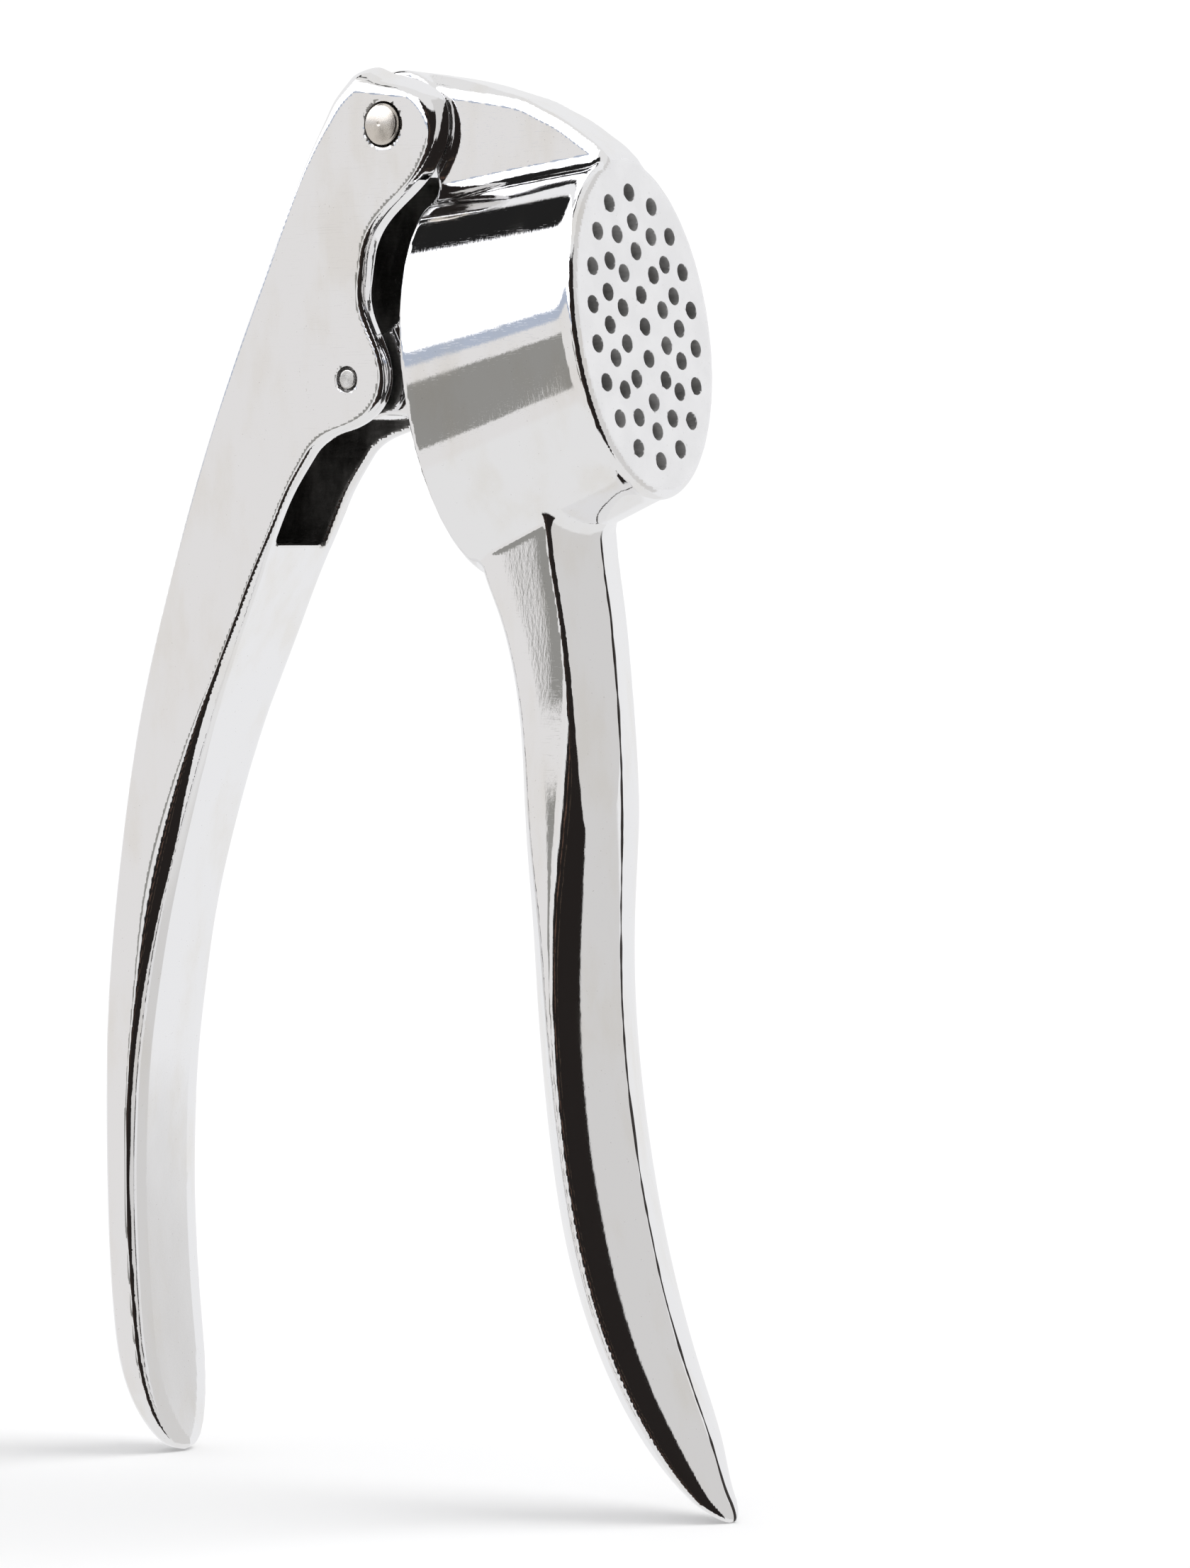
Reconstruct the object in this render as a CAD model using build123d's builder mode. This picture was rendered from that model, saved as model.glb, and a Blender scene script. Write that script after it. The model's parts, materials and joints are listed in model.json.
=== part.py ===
from build123d import *
import math
import os

# Garlic press: two die-cast levers on one rivet, with an oval plunger hung on a cross pin.
# Frame: the press stands on its two handle tips at Z = 0, the pivot axis runs along Y,
# Y = 0 is the plane of symmetry, and +X points from the plunger lever to the basket lever.
# Profiles are drawn from the pivot axis, so x and z below are distances from it.

os.makedirs("parts", exist_ok=True)

PIVOT_X = 0.22
PIVOT_Z = 181.8

# Pivot: a 6 mm rivet through both cheeks and the eye of the basket lever.
RIVET_R = 3.0
RIVET_DOME = 0.9
RUNNING_FIT = 0.05
EYE_R = 7.5
EYE_HALF = 5.0

# Plunger pin in the plunger lever, and the lug of the plunger that turns on it.
PIN_X, PIN_Z = -7.1, -33.4
PIN_R = 1.3
PIN_COUNTERSINK = 0.45
PIN_RECESS = 0.5
LUG_R = 5.2
LUG_HALF = 4.1

# Plunger lever: forked head round a slot, running into a strap handle.
SLOT_HALF = 5.2
CHEEK_R = 8.7
CHEEK_HALF = 8.9
LOBE_HALF = 7.5
STRAP_HALF = 7.4
SLOT_FLOOR_Z = -55.3
SLOT_BACK_R = 7.9
BACK_WALL_TOP = 2.5
CHEEK_ARC_TOP, CHEEK_ARC_BOTTOM = 50, -42
TIP_Z = -181.8

# Basket: oval barrel whose axis leans back from the horizontal, closed by the sieve plate.
BARREL_TILT = 8.4
PLATE_X, PLATE_Z = 36.1, -27.2
PLATE_LONG, PLATE_SHORT = 22.1, 15.2
PLATE_T = 2.2
MOUTH_LONG, MOUTH_SHORT = 26.0, 16.6
MOUTH_DROP, BORE_MOUTH_DROP = 3.1, 2.5
BARREL_L = 28.0
BORE_LONG, BORE_SHORT = 19.9, 13.1
BORE_MOUTH_LONG, BORE_MOUTH_SHORT = 23.6, 14.3

# Sieve: ovals of holes, each row as (number of holes, long radius, short radius).
HOLE_R = 1.18
HOLE_RINGS = [(18, 17.6, 11.2), (16, 13.7, 7.8), (10, 9.9, 4.6), (2, 4.2, 0.0)]

# Plunger: piston that follows the bore, on a rib from the lug.
PISTON_LONG, PISTON_SHORT = 18.3, 12.2
PISTON_T = 6.0
PLUNGER_REACH = 28.0
PISTON_RISE = 1.1
RIB_TOP, RIB_BOTTOM = 15.5, 11.0
RIB_FLARE, RIB_END = 16.0, 25.0

# Tools that only have to reach right through a body.
THROUGH = 20

side = Plane(origin=(PIVOT_X, 0, PIVOT_Z), x_dir=(1, 0, 0), z_dir=(0, -1, 0))
front = Plane(origin=(PIVOT_X, 0, PIVOT_Z), x_dir=(0, 1, 0), z_dir=(1, 0, 0))
plan = Plane(origin=(PIVOT_X, 0, PIVOT_Z), x_dir=(1, 0, 0), z_dir=(0, 0, 1))

tilt = math.radians(BARREL_TILT)
bore_axis = (math.cos(tilt), 0, math.sin(tilt))
bore_down = (math.sin(tilt), 0, -math.cos(tilt))


def along_bore(x, z, advance, drop=0.0):
    """Plane square to the bore axis, from a point of the side view; local x runs down."""
    origin = (
        PIVOT_X + x + advance * bore_axis[0] + drop * bore_down[0],
        0,
        PIVOT_Z + z + advance * bore_axis[2] + drop * bore_down[2],
    )
    return Plane(origin=origin, x_dir=bore_down, z_dir=bore_axis)


def from_pin(advance, rise):
    """Side-view point at a distance along and above the bore's direction from the plunger pin."""
    return (
        PIN_X + advance * bore_axis[0] - rise * bore_axis[2],
        PIN_Z + advance * bore_axis[2] + rise * bore_axis[0],
    )


def on_cheek(degrees):
    """Side-view point on the round edge of the cheeks."""
    angle = math.radians(degrees)
    return (CHEEK_R * math.cos(angle), CHEEK_R * math.sin(angle))


def ring_of_holes(count, long_r, short_r):
    """Points spaced evenly along an oval, the first on its long axis."""
    if short_r == 0:
        return [(long_r, 0), (-long_r, 0)]
    steps = 720
    fine = [
        (long_r * math.cos(2 * math.pi * i / steps), short_r * math.sin(2 * math.pi * i / steps))
        for i in range(steps + 1)
    ]
    lengths = [0.0]
    for a, b in zip(fine, fine[1:]):
        lengths.append(lengths[-1] + math.dist(a, b))
    points = []
    for k in range(count):
        target = lengths[-1] * k / count
        nearest = min(range(steps), key=lambda i: abs(lengths[i] - target))
        points.append(fine[nearest])
    return points


# ---------------------------------------------------------------- basket lever

# Web of the arm, from the eye to the sieve plate; it is a little narrower at the plate.
with BuildPart() as web:
    with BuildSketch(side):
        with BuildLine():
            Spline((0, EYE_R), (11.6, 5.4), (20.8, 2.6), (28.9, -2.4), (33.0, -5.9))
            Polyline((33.0, -5.9), (34.0, -12.5), (7.0, -12.5), (5.6, -5.0), (0, 0), (0, EYE_R))
        make_face()
    extrude(amount=6, both=True)
    with BuildSketch(plan):
        with BuildLine():
            Polyline((0, 0), (0, EYE_HALF), (8, EYE_HALF), (18, 4.2), (36, 4.0), (36, 0))
            mirror(about=Plane.XZ)
        make_face()
    extrude(amount=THROUGH, both=True, mode=Mode.INTERSECT)

# Handle: oval sections from the underside of the barrel to the tip,
# each as (z, x, depth, width).
GRIP_STATIONS = [
    (-48.0, 21.6, 13.6, 16.6),
    (-57.0, 21.7, 15.8, 17.2),
    (-64.0, 23.5, 15.0, 17.0),
    (-71.0, 25.0, 13.4, 16.6),
    (-88.0, 26.1, 12.7, 16.5),
    (-114.0, 26.1, 12.7, 17.0),
    (-133.0, 27.9, 13.3, 18.0),
    (-151.0, 31.9, 13.6, 18.0),
    (-164.0, 37.2, 12.3, 16.5),
    (-173.5, 42.6, 9.6, 13.4),
    (-179.3, 46.9, 6.2, 9.0),
    (TIP_Z, 49.4, 2.8, 4.4),
]
with BuildPart() as grip:
    for z, x, depth, width in GRIP_STATIONS:
        with BuildSketch(Plane(origin=(PIVOT_X + x, 0, PIVOT_Z + z))):
            Ellipse(depth / 2, width / 2)
    loft()

with BuildPart() as basket_lever:
    # Outside of the barrel, flaring from the sieve plate to the mouth.
    with BuildSketch(along_bore(PLATE_X, PLATE_Z, 0)):
        Ellipse(PLATE_LONG, PLATE_SHORT)
    with BuildSketch(along_bore(PLATE_X, PLATE_Z, -BARREL_L, MOUTH_DROP)):
        Ellipse(MOUTH_LONG, MOUTH_SHORT)
    loft()
    add(web.part)
    add(grip.part)
    # Eye round the rivet.
    with BuildSketch(side):
        Circle(EYE_R)
    extrude(amount=EYE_HALF, both=True)
    # The arm and the barrel end flush in one ground face.
    with BuildSketch(along_bore(PLATE_X, PLATE_Z, 0)):
        Rectangle(70, 50)
    extrude(amount=12, mode=Mode.SUBTRACT)
    # Bore of the barrel.
    with BuildSketch(along_bore(PLATE_X, PLATE_Z, -PLATE_T)):
        Ellipse(BORE_LONG, BORE_SHORT)
    with BuildSketch(along_bore(PLATE_X, PLATE_Z, -BARREL_L - 0.01, BORE_MOUTH_DROP)):
        Ellipse(BORE_MOUTH_LONG, BORE_MOUTH_SHORT)
    loft(mode=Mode.SUBTRACT)
    # Sieve holes.
    with BuildSketch(along_bore(PLATE_X, PLATE_Z, 0)):
        Circle(HOLE_R)
        for count, long_r, short_r in HOLE_RINGS:
            with Locations(ring_of_holes(count, long_r, short_r)):
                Circle(HOLE_R)
    extrude(amount=-2 * PLATE_T, mode=Mode.SUBTRACT)
    # Rivet hole.
    with BuildSketch(side):
        Circle(RIVET_R + RUNNING_FIT)
    extrude(amount=THROUGH, both=True, mode=Mode.SUBTRACT)
basket_lever.part.label = "basket_lever"
export_step(basket_lever.part, "parts/basket_lever.step")

# ---------------------------------------------------------------- plunger lever

with BuildPart() as plunger_lever:
    with BuildSketch(side):
        with BuildLine():
            head_top = (-4.4, 8.5)
            Line(head_top, on_cheek(CHEEK_ARC_TOP))
            ThreePointArc(on_cheek(CHEEK_ARC_TOP), on_cheek(0), on_cheek(CHEEK_ARC_BOTTOM))
            Spline(
                on_cheek(CHEEK_ARC_BOTTOM),
                (0.6, -8.4),
                (-3.8, -18.5),
                (-0.7, -32.3),
                (-3.4, -37.8),
                (-11.7, -42.3),
                (-20.0, -53.4),
                tangents=[(-0.67, -0.74), (-0.5, -1)],
            )
            Spline(
                (-20.0, -53.4),
                (-31.4, -78.0),
                (-41.0, -107.5),
                (-45.3, -140.0),
                (-44.2, -166.0),
                (-41.6, -178.0),
            )
            Polyline((-41.6, -178.0), (-42.6, TIP_Z), (-45.0, TIP_Z))
            Spline(
                (-45.0, TIP_Z),
                (-48.2, -175.0),
                (-50.9, -155.0),
                (-50.6, -120.0),
                (-43.4, -78.0),
                (-30.5, -39.3),
                (-13.7, -5.2),
                (-10.7, 1.6),
                (-8.4, 5.9),
                head_top,
            )
        make_face()
    extrude(amount=12, both=True)
    # Width seen from the front: widest at the head, with a rounded-off tip.
    with BuildSketch(front):
        with BuildLine():
            Polyline((0, 12), (CHEEK_HALF, 12), (CHEEK_HALF, -3))
            Spline(
                (CHEEK_HALF, -3),
                (LOBE_HALF, -38),
                (STRAP_HALF, -90),
                (STRAP_HALF, -150),
                (5.2, -175),
                (2.6, -182.5),
                tangents=[(0, -1), (-0.6, -1)],
            )
            Line((2.6, -182.5), (0, -182.5))
            mirror(about=Plane.YZ)
        make_face()
    extrude(amount=80, both=True, mode=Mode.INTERSECT)
    # Slot for the eye, the arm and the plunger lug; a back wall joins the cheeks.
    with BuildSketch(side):
        with BuildLine():
            wall_top = (-math.sqrt(SLOT_BACK_R**2 - BACK_WALL_TOP**2), BACK_WALL_TOP)
            Polyline((THROUGH, THROUGH), (-THROUGH, THROUGH), (-THROUGH, BACK_WALL_TOP), wall_top)
            RadiusArc(wall_top, (-SLOT_BACK_R, 0), SLOT_BACK_R)
            Spline((-SLOT_BACK_R, 0), (-12.4, -8.0), (-20.6, -23.5), (-28.2, -41.0), (-31.7, SLOT_FLOOR_Z))
            Polyline((-31.7, SLOT_FLOOR_Z), (THROUGH, SLOT_FLOOR_Z), (THROUGH, THROUGH))
        make_face()
    extrude(amount=SLOT_HALF, both=True, mode=Mode.SUBTRACT)
    # Rivet and pin holes, the pin's countersunk at both ends.
    with BuildSketch(side):
        Circle(RIVET_R + RUNNING_FIT)
        with Locations((PIN_X, PIN_Z)):
            Circle(PIN_R)
    extrude(amount=THROUGH, both=True, mode=Mode.SUBTRACT)
    for outward in (1, -1):
        with BuildSketch(side.offset(outward * (LOBE_HALF - PIN_RECESS))):
            with Locations((PIN_X, PIN_Z)):
                Circle(PIN_R + PIN_COUNTERSINK)
        extrude(amount=outward * 4, mode=Mode.SUBTRACT)
plunger_lever.part.label = "plunger_lever"
export_step(plunger_lever.part, "parts/plunger_lever.step")

# ---------------------------------------------------------------- plunger

with BuildPart() as plunger:
    # Piston.
    with BuildSketch(along_bore(PIN_X, PIN_Z, PLUNGER_REACH - PISTON_T, -PISTON_RISE)):
        Ellipse(PISTON_LONG, PISTON_SHORT)
    extrude(amount=PISTON_T)
    # Rib from the lug to the piston.
    with BuildSketch(side):
        with Locations((PIN_X, PIN_Z)):
            Circle(LUG_R)
        with BuildLine():
            Polyline(
                from_pin(0, LUG_R),
                from_pin(RIB_FLARE, RIB_TOP),
                from_pin(RIB_END, RIB_TOP),
                from_pin(RIB_END, -RIB_BOTTOM),
                from_pin(RIB_FLARE, -RIB_BOTTOM),
                from_pin(0, -LUG_R),
                from_pin(0, LUG_R),
            )
        make_face()
    extrude(amount=LUG_HALF, both=True)
    with BuildSketch(side):
        with Locations((PIN_X, PIN_Z)):
            Circle(PIN_R + RUNNING_FIT)
    extrude(amount=THROUGH, both=True, mode=Mode.SUBTRACT)
plunger.part.label = "plunger"
export_step(plunger.part, "parts/plunger.step")

# ---------------------------------------------------------------- rivet and pin

with BuildPart() as pivot_rivet:
    with BuildSketch(side):
        Circle(RIVET_R)
    extrude(amount=CHEEK_HALF + RIVET_DOME, both=True)
    fillet(pivot_rivet.edges().filter_by(GeomType.CIRCLE), radius=RIVET_DOME)
pivot_rivet.part.label = "pivot_rivet"
export_step(pivot_rivet.part, "parts/pivot_rivet.step")

with BuildPart() as plunger_pin:
    with BuildSketch(side):
        with Locations((PIN_X, PIN_Z)):
            Circle(PIN_R)
    extrude(amount=LOBE_HALF + 0.1, both=True)
plunger_pin.part.label = "plunger_pin"
export_step(plunger_pin.part, "parts/plunger_pin.step")
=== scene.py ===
import json
import math

import bpy
import numpy as np
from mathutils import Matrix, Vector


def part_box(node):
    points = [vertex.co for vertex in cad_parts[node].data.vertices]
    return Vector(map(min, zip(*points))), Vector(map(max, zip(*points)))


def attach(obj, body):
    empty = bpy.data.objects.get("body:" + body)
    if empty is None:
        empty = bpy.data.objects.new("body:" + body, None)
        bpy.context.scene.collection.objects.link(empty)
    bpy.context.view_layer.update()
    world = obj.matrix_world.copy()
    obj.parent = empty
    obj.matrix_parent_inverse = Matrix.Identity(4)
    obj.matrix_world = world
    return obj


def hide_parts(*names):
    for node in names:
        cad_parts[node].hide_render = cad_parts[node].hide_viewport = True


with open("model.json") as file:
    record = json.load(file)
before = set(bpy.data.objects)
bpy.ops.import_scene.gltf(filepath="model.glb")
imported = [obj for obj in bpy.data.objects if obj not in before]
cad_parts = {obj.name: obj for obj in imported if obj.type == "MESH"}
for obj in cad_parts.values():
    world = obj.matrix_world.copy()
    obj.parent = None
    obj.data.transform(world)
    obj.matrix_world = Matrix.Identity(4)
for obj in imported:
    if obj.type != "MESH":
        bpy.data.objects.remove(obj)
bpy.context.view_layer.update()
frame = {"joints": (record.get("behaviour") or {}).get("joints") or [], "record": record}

MM = 0.001

# Every shape below is a field: a function of x, y and z in millimetres from the pivot axis, negative inside
# the metal and close to the true distance near its surface. mesh_from_field() turns it into a mesh.
# A profile curve gives a place or a size for each height z. Those that go by x instead, or that give
# something else, have a comment.

JOINT = {joint["name"]: joint for joint in frame["joints"]}
PIVOT = np.array(JOINT["lever_open"]["pos_m"])
PIN_X, _, PIN_Z = (np.array(JOINT["plunger_swing"]["pos_m"]) - PIVOT) / MM
FLOOR_Z = -PIVOT[2] / MM

SIEVE = frame["record"]["mounts"][0]
SIEVE_AXIS = np.array(SIEVE["axis"])
SIEVE_X, _, SIEVE_Z = (np.array(SIEVE["pos_m"]) - PIVOT) / MM


def node_box(node):
    """Lowest and highest corner of a CAD node, in millimetres from the pivot axis."""
    low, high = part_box(node)
    return (np.array(low) - PIVOT) / MM, (np.array(high) - PIVOT) / MM


RIVET_TOP = node_box("pivot_rivet")[1][1]
PIN_TOP = node_box("plunger_pin")[1][1]
RIVET_HOLE_R = 3.05


# ---------------------------------------------------------------- fields

def curve(points):
    """Smooth function through (input, output) points: a natural cubic spline, straight outside them."""
    points = sorted(points)
    t = np.array([p[0] for p in points], float)
    v = np.array([p[1] for p in points], float)
    n = len(t)
    h = np.diff(t)
    system = np.eye(n)
    right = np.zeros(n)
    for i in range(1, n - 1):
        system[i, i - 1 : i + 2] = h[i - 1], 2 * (h[i - 1] + h[i]), h[i]
        right[i] = 6 * ((v[i + 1] - v[i]) / h[i] - (v[i] - v[i - 1]) / h[i - 1])
    bend = np.linalg.solve(system, right)
    slope = np.diff(v) / h - h * (2 * bend[:-1] + bend[1:]) / 6
    end_slope = slope[-1] + h[-1] * (bend[-2] + bend[-1]) / 2

    def value(at):
        """The output for one input or an array of them."""
        at = np.asarray(at, float)
        inner = np.clip(at, t[0], t[-1])
        i = np.clip(np.searchsorted(t, inner) - 1, 0, n - 2)
        d = inner - t[i]
        out = v[i] + d * (slope[i] + d * (bend[i] / 2 + d * (bend[i + 1] - bend[i]) / (6 * h[i])))
        past_end = np.where(at > t[-1], (at - t[-1]) * end_slope, 0)
        return out + np.where(at < t[0], (at - t[0]) * slope[0], past_end)

    return value


def ramp(at, start, end):
    """0 before start, 1 after end, smooth between them."""
    u = np.clip((at - start) / (end - start), 0, 1)
    return u * u * (3 - 2 * u)


def both(a, b, r=0.0):
    """What is in a and in b, with their meeting edge rounded to radius r."""
    return np.minimum(np.maximum(a, b), -r) + np.hypot(np.maximum(a + r, 0), np.maximum(b + r, 0))


def either(a, b, r=0.0):
    """What is in a or in b, with a fillet of radius r where they meet."""
    return -both(-a, -b, r)


def ellipse(x, y, a, b, power=2.0):
    """Distance from an oval with half-axes a and b; a power above 2 squares it up."""
    a, b = np.maximum(a, 0.05), np.maximum(b, 0.05)
    u, v = np.abs(x) / a + 1e-9, np.abs(y) / b + 1e-9
    size = (u**power + v**power) ** (1 / power)
    slope = np.hypot((u / size) ** (power - 1) / a, (v / size) ** (power - 1) / b)
    return (size - 1) / slope


def beside(value, profile, at, sign=1):
    """Distance past a profile curve that is a function of `at`, measured square to it."""
    step = 0.05
    slope = (profile(at + step) - profile(at - step)) / (2 * step)
    return sign * (value - profile(at)) / np.sqrt(1 + slope * slope)


# ---------------------------------------------------------------- meshes from fields

def steps(*spans):
    """Grid lines along one axis, from spans of (start, end, step)."""
    lines = [np.linspace(a, b, max(2, round((b - a) / step) + 1)) for a, b, step in spans]
    return np.concatenate([lines[0]] + [line[1:] for line in lines[1:]])


# A block of cells is worked out in full if the field at its middle is under this many half-diagonals.
NEAR_BLOCK = 1.7
BLOCKS_AT_ONCE = 400


def whole_blocks(lines, block):
    """Grid lines with a few more added at the end, so that the cells fill whole blocks."""
    extra = np.arange(1, (1 - len(lines)) % block + 1)
    return np.concatenate([lines, lines[-1] + (lines[-1] - lines[-2]) * extra])


def sample(field, axes, block=8):
    """The field at every grid point near its surface; elsewhere only the right sign."""
    axes = [whole_blocks(lines, block) for lines in axes]
    middles = [(a[:-1:block] + a[block::block]) / 2 for a in axes]
    halves = [(a[block::block] - a[:-1:block]) / 2 for a in axes]
    coarse = field(*np.meshgrid(*middles, indexing="ij"))
    reach = np.sqrt(sum(h**2 for h in np.meshgrid(*halves, indexing="ij")))
    values = coarse
    for axis in range(3):
        values = np.repeat(values, block, axis=axis)
    values = np.pad(values, [(0, 1)] * 3, mode="edge")
    near = np.argwhere(np.abs(coarse) < NEAR_BLOCK * reach)
    inner = np.stack(np.meshgrid(*[np.arange(block + 1)] * 3, indexing="ij"), -1).reshape(-1, 3)
    for group in np.array_split(near, max(1, len(near) // BLOCKS_AT_ONCE)):
        at = (group[:, None] * block + inner).reshape(-1, 3)
        i, j, k = at.T
        values[i, j, k] = field(axes[0][i], axes[1][j], axes[2][k])
    return axes, values


def slope_of(field, points, h=0.02):
    """The field's gradient at some points, from the corners of a small tetrahedron."""
    gradient = np.zeros_like(points)
    for corner in np.array([(1, -1, -1), (-1, -1, 1), (-1, 1, -1), (1, 1, 1)], float):
        gradient += field(*(points + corner * h).T)[:, None] * corner
    return gradient / (4 * h)


def unit(vectors):
    """The same directions with length 1."""
    return vectors / np.maximum(np.linalg.norm(vectors, axis=-1, keepdims=True), 1e-9)


def crossed_cells(inside):
    """Which cells have corners on both sides of the surface."""
    cells = tuple(n - 1 for n in inside.shape)
    count = sum(
        inside[i : i + cells[0], j : j + cells[1], k : k + cells[2]].astype(np.int8)
        for i in (0, 1) for j in (0, 1) for k in (0, 1)
    )
    return (count > 0) & (count < 8)


def crossed_edges(inside, d):
    """Lower end of each grid edge along axis d that the surface crosses, leaving out the grid's rim."""
    low = [slice(1, -1)] * 3
    low[d] = slice(0, -1)
    high = list(low)
    high[d] = slice(1, None)
    start = np.argwhere(inside[tuple(low)] != inside[tuple(high)])
    start[:, (d + 1) % 3] += 1
    start[:, (d + 2) % 3] += 1
    return start


def crossings(field, axes, values, start, d):
    """Where the surface cuts each grid edge from `start` along axis d, after two corrections."""
    end = start.copy()
    end[:, d] += 1
    v0, v1 = values[tuple(start.T)], values[tuple(end.T)]
    corner = np.stack([axes[i][start[:, i]] for i in range(3)], 1)
    length = axes[d][end[:, d]] - axes[d][start[:, d]]
    share = v0 / (v0 - v1)

    def place(share):
        """The points that share of the way along the edges."""
        at = corner.copy()
        at[:, d] += share * length
        return at

    for _ in range(2):
        share = np.clip(share - field(*place(share).T) / (v1 - v0), 0, 1)
    return place(share)


def cells_round(start, number, d):
    """Numbers of the four cells round each grid edge, in order."""
    ring = []
    for de, df in ((-1, -1), (0, -1), (0, 0), (-1, 0)):
        c = start.copy()
        c[:, (d + 1) % 3] += de
        c[:, (d + 2) % 3] += df
        ring.append(number[tuple(c.T)])
    return ring


# How strongly a cell's point is drawn to the middle of its crossings rather than onto their tangent planes.
CREASE = 0.05
# The lowest points are kept this far above the floor.
ABOVE_FLOOR = 0.02
# A corner's normal is read this share of the way from the quad's middle to the corner, to keep creases sharp.
CORNER_SHARE = 0.7
NORMAL_STEP = 0.01


def surface(field, axes):
    """Points and quads of the field's zero surface, by dual contouring, and a normal at each quad corner."""
    axes, values = sample(field, axes)
    inside = values < 0
    crossed = crossed_cells(inside)
    cell = np.argwhere(crossed)
    total = len(cell)
    number = np.full(crossed.shape, -1, np.int32)
    number[crossed] = np.arange(total)
    middle, hits = np.zeros((total, 3)), np.zeros(total)
    square, pull = np.zeros((total, 3, 3)), np.zeros((total, 3))

    quads = []
    for d in range(3):
        start = crossed_edges(inside, d)
        at = crossings(field, axes, values, start, d)
        n = unit(slope_of(field, at))
        ring = cells_round(start, number, d)
        for c in ring:
            for i in range(3):
                middle[:, i] += np.bincount(c, at[:, i], total)
                pull[:, i] += np.bincount(c, n[:, i] * (n * at).sum(1), total)
                for j in range(3):
                    square[:, i, j] += np.bincount(c, n[:, i] * n[:, j], total)
            hits += np.bincount(c, minlength=total)
        ring = np.stack(ring, 1)
        entering = ~inside[tuple(start.T)]
        ring[entering] = ring[entering][:, ::-1]
        quads.append(ring)

    middle /= hits[:, None]
    square += CREASE * np.eye(3)
    points = np.linalg.solve(square, (pull + CREASE * middle)[..., None])[..., 0]
    low = np.stack([axes[i][cell[:, i]] for i in range(3)], 1)
    high = np.stack([axes[i][cell[:, i] + 1] for i in range(3)], 1)
    points = np.clip(points, low, high)
    points[:, 2] = np.maximum(points[:, 2], FLOOR_Z + ABOVE_FLOOR)
    quads = np.concatenate(quads)
    middles = points[quads].mean(1, keepdims=True)
    corners = points[quads] * CORNER_SHARE + middles * (1 - CORNER_SHARE)
    normals = unit(slope_of(field, corners.reshape(-1, 3), NORMAL_STEP)).reshape(corners.shape)
    return points, quads, normals


def mesh_from_field(name, field, axes, materials, choose=None):
    """An object whose mesh is the field's surface. choose(points, normals) picks each quad's material."""
    points, quads, normals = surface(field, axes)
    mesh = bpy.data.meshes.new(name)
    mesh.vertices.add(len(points))
    mesh.vertices.foreach_set("co", ((points * MM) + PIVOT).astype(np.float32).ravel())
    mesh.loops.add(quads.size)
    mesh.loops.foreach_set("vertex_index", quads.astype(np.int32).ravel())
    mesh.polygons.add(len(quads))
    mesh.polygons.foreach_set("loop_start", np.arange(0, quads.size, 4, dtype=np.int32))
    mesh.update(calc_edges=True)
    mesh.shade_smooth()
    mesh.normals_split_custom_set(normals.reshape(-1, 3))
    for material in materials:
        mesh.materials.append(material)
    if choose:
        index = choose(points[quads].mean(1), normals.mean(1))
        mesh.polygons.foreach_set("material_index", index.astype(np.int32))
    piece = bpy.data.objects.new(name, mesh)
    bpy.context.scene.collection.objects.link(piece)
    return piece


# ---------------------------------------------------------------- basket lever

BARREL_L = 28.0
BARREL_HALF = (21.9, 15.0)
BARREL_WIDENING = (4.1, 1.6)
BARREL_DROP = 3.1
BARREL_ROUND = 0.9
BORE_HALF = (19.9, 13.1)
BORE_WIDENING = (3.7, 1.2)
BORE_DROP = 2.5
BORE_ROUND = 1.2
BORE_EDGE = 0.9
# The widening goes from 0 at the sieve to 1 at the far end, and on a little past both.
WIDENING_SPAN = (-0.3, 1.3)
RIM_FLARE = 0.5
FLARE_BACK = 0.2
FLARE_SPREAD = 2.0
RIM_ROUND = 1.2
PLATE_T = 2.2
# Each ring of holes: how many, and its half-length and half-width.
HOLE_RINGS = [(18, 17.6, 11.2), (16, 13.7, 7.8), (10, 9.9, 4.6), (2, 4.2, 0.0)]
HOLE_R = 1.18
HOLE_EDGE = 0.06
# Half-axes of the oval that holds all the holes.
HOLES_HALF = (20, 13.5)
# Holes are cut out of the field this far each side of the plate. NO_HOLE is a distance beyond their reach.
HOLES_MARGIN = 1.5
NO_HOLE = 9.0


def in_barrel(x, z):
    """Distance out of the sieve face along the bore, and distance down from the face's centre."""
    dx, dz = x - SIEVE_X, z - SIEVE_Z
    c, s = SIEVE_AXIS[0], SIEVE_AXIS[2]
    return dx * c + dz * s, dx * s - dz * c


def ring_of_holes(count, long_r, short_r):
    """Points spaced evenly along an oval, the first on its long axis."""
    if short_r == 0:
        return [(long_r, 0.0), (-long_r, 0.0)]
    turn = np.linspace(0, 2 * math.pi, 721)
    along, across = long_r * np.cos(turn), short_r * np.sin(turn)
    length = np.concatenate([[0], np.cumsum(np.hypot(np.diff(along), np.diff(across)))])
    places = np.arange(count) * length[-1] / count
    return list(zip(np.interp(places, length, along), np.interp(places, length, across)))


HOLES = [(0.0, 0.0)] + [hole for ring in HOLE_RINGS for hole in ring_of_holes(*ring)]

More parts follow.
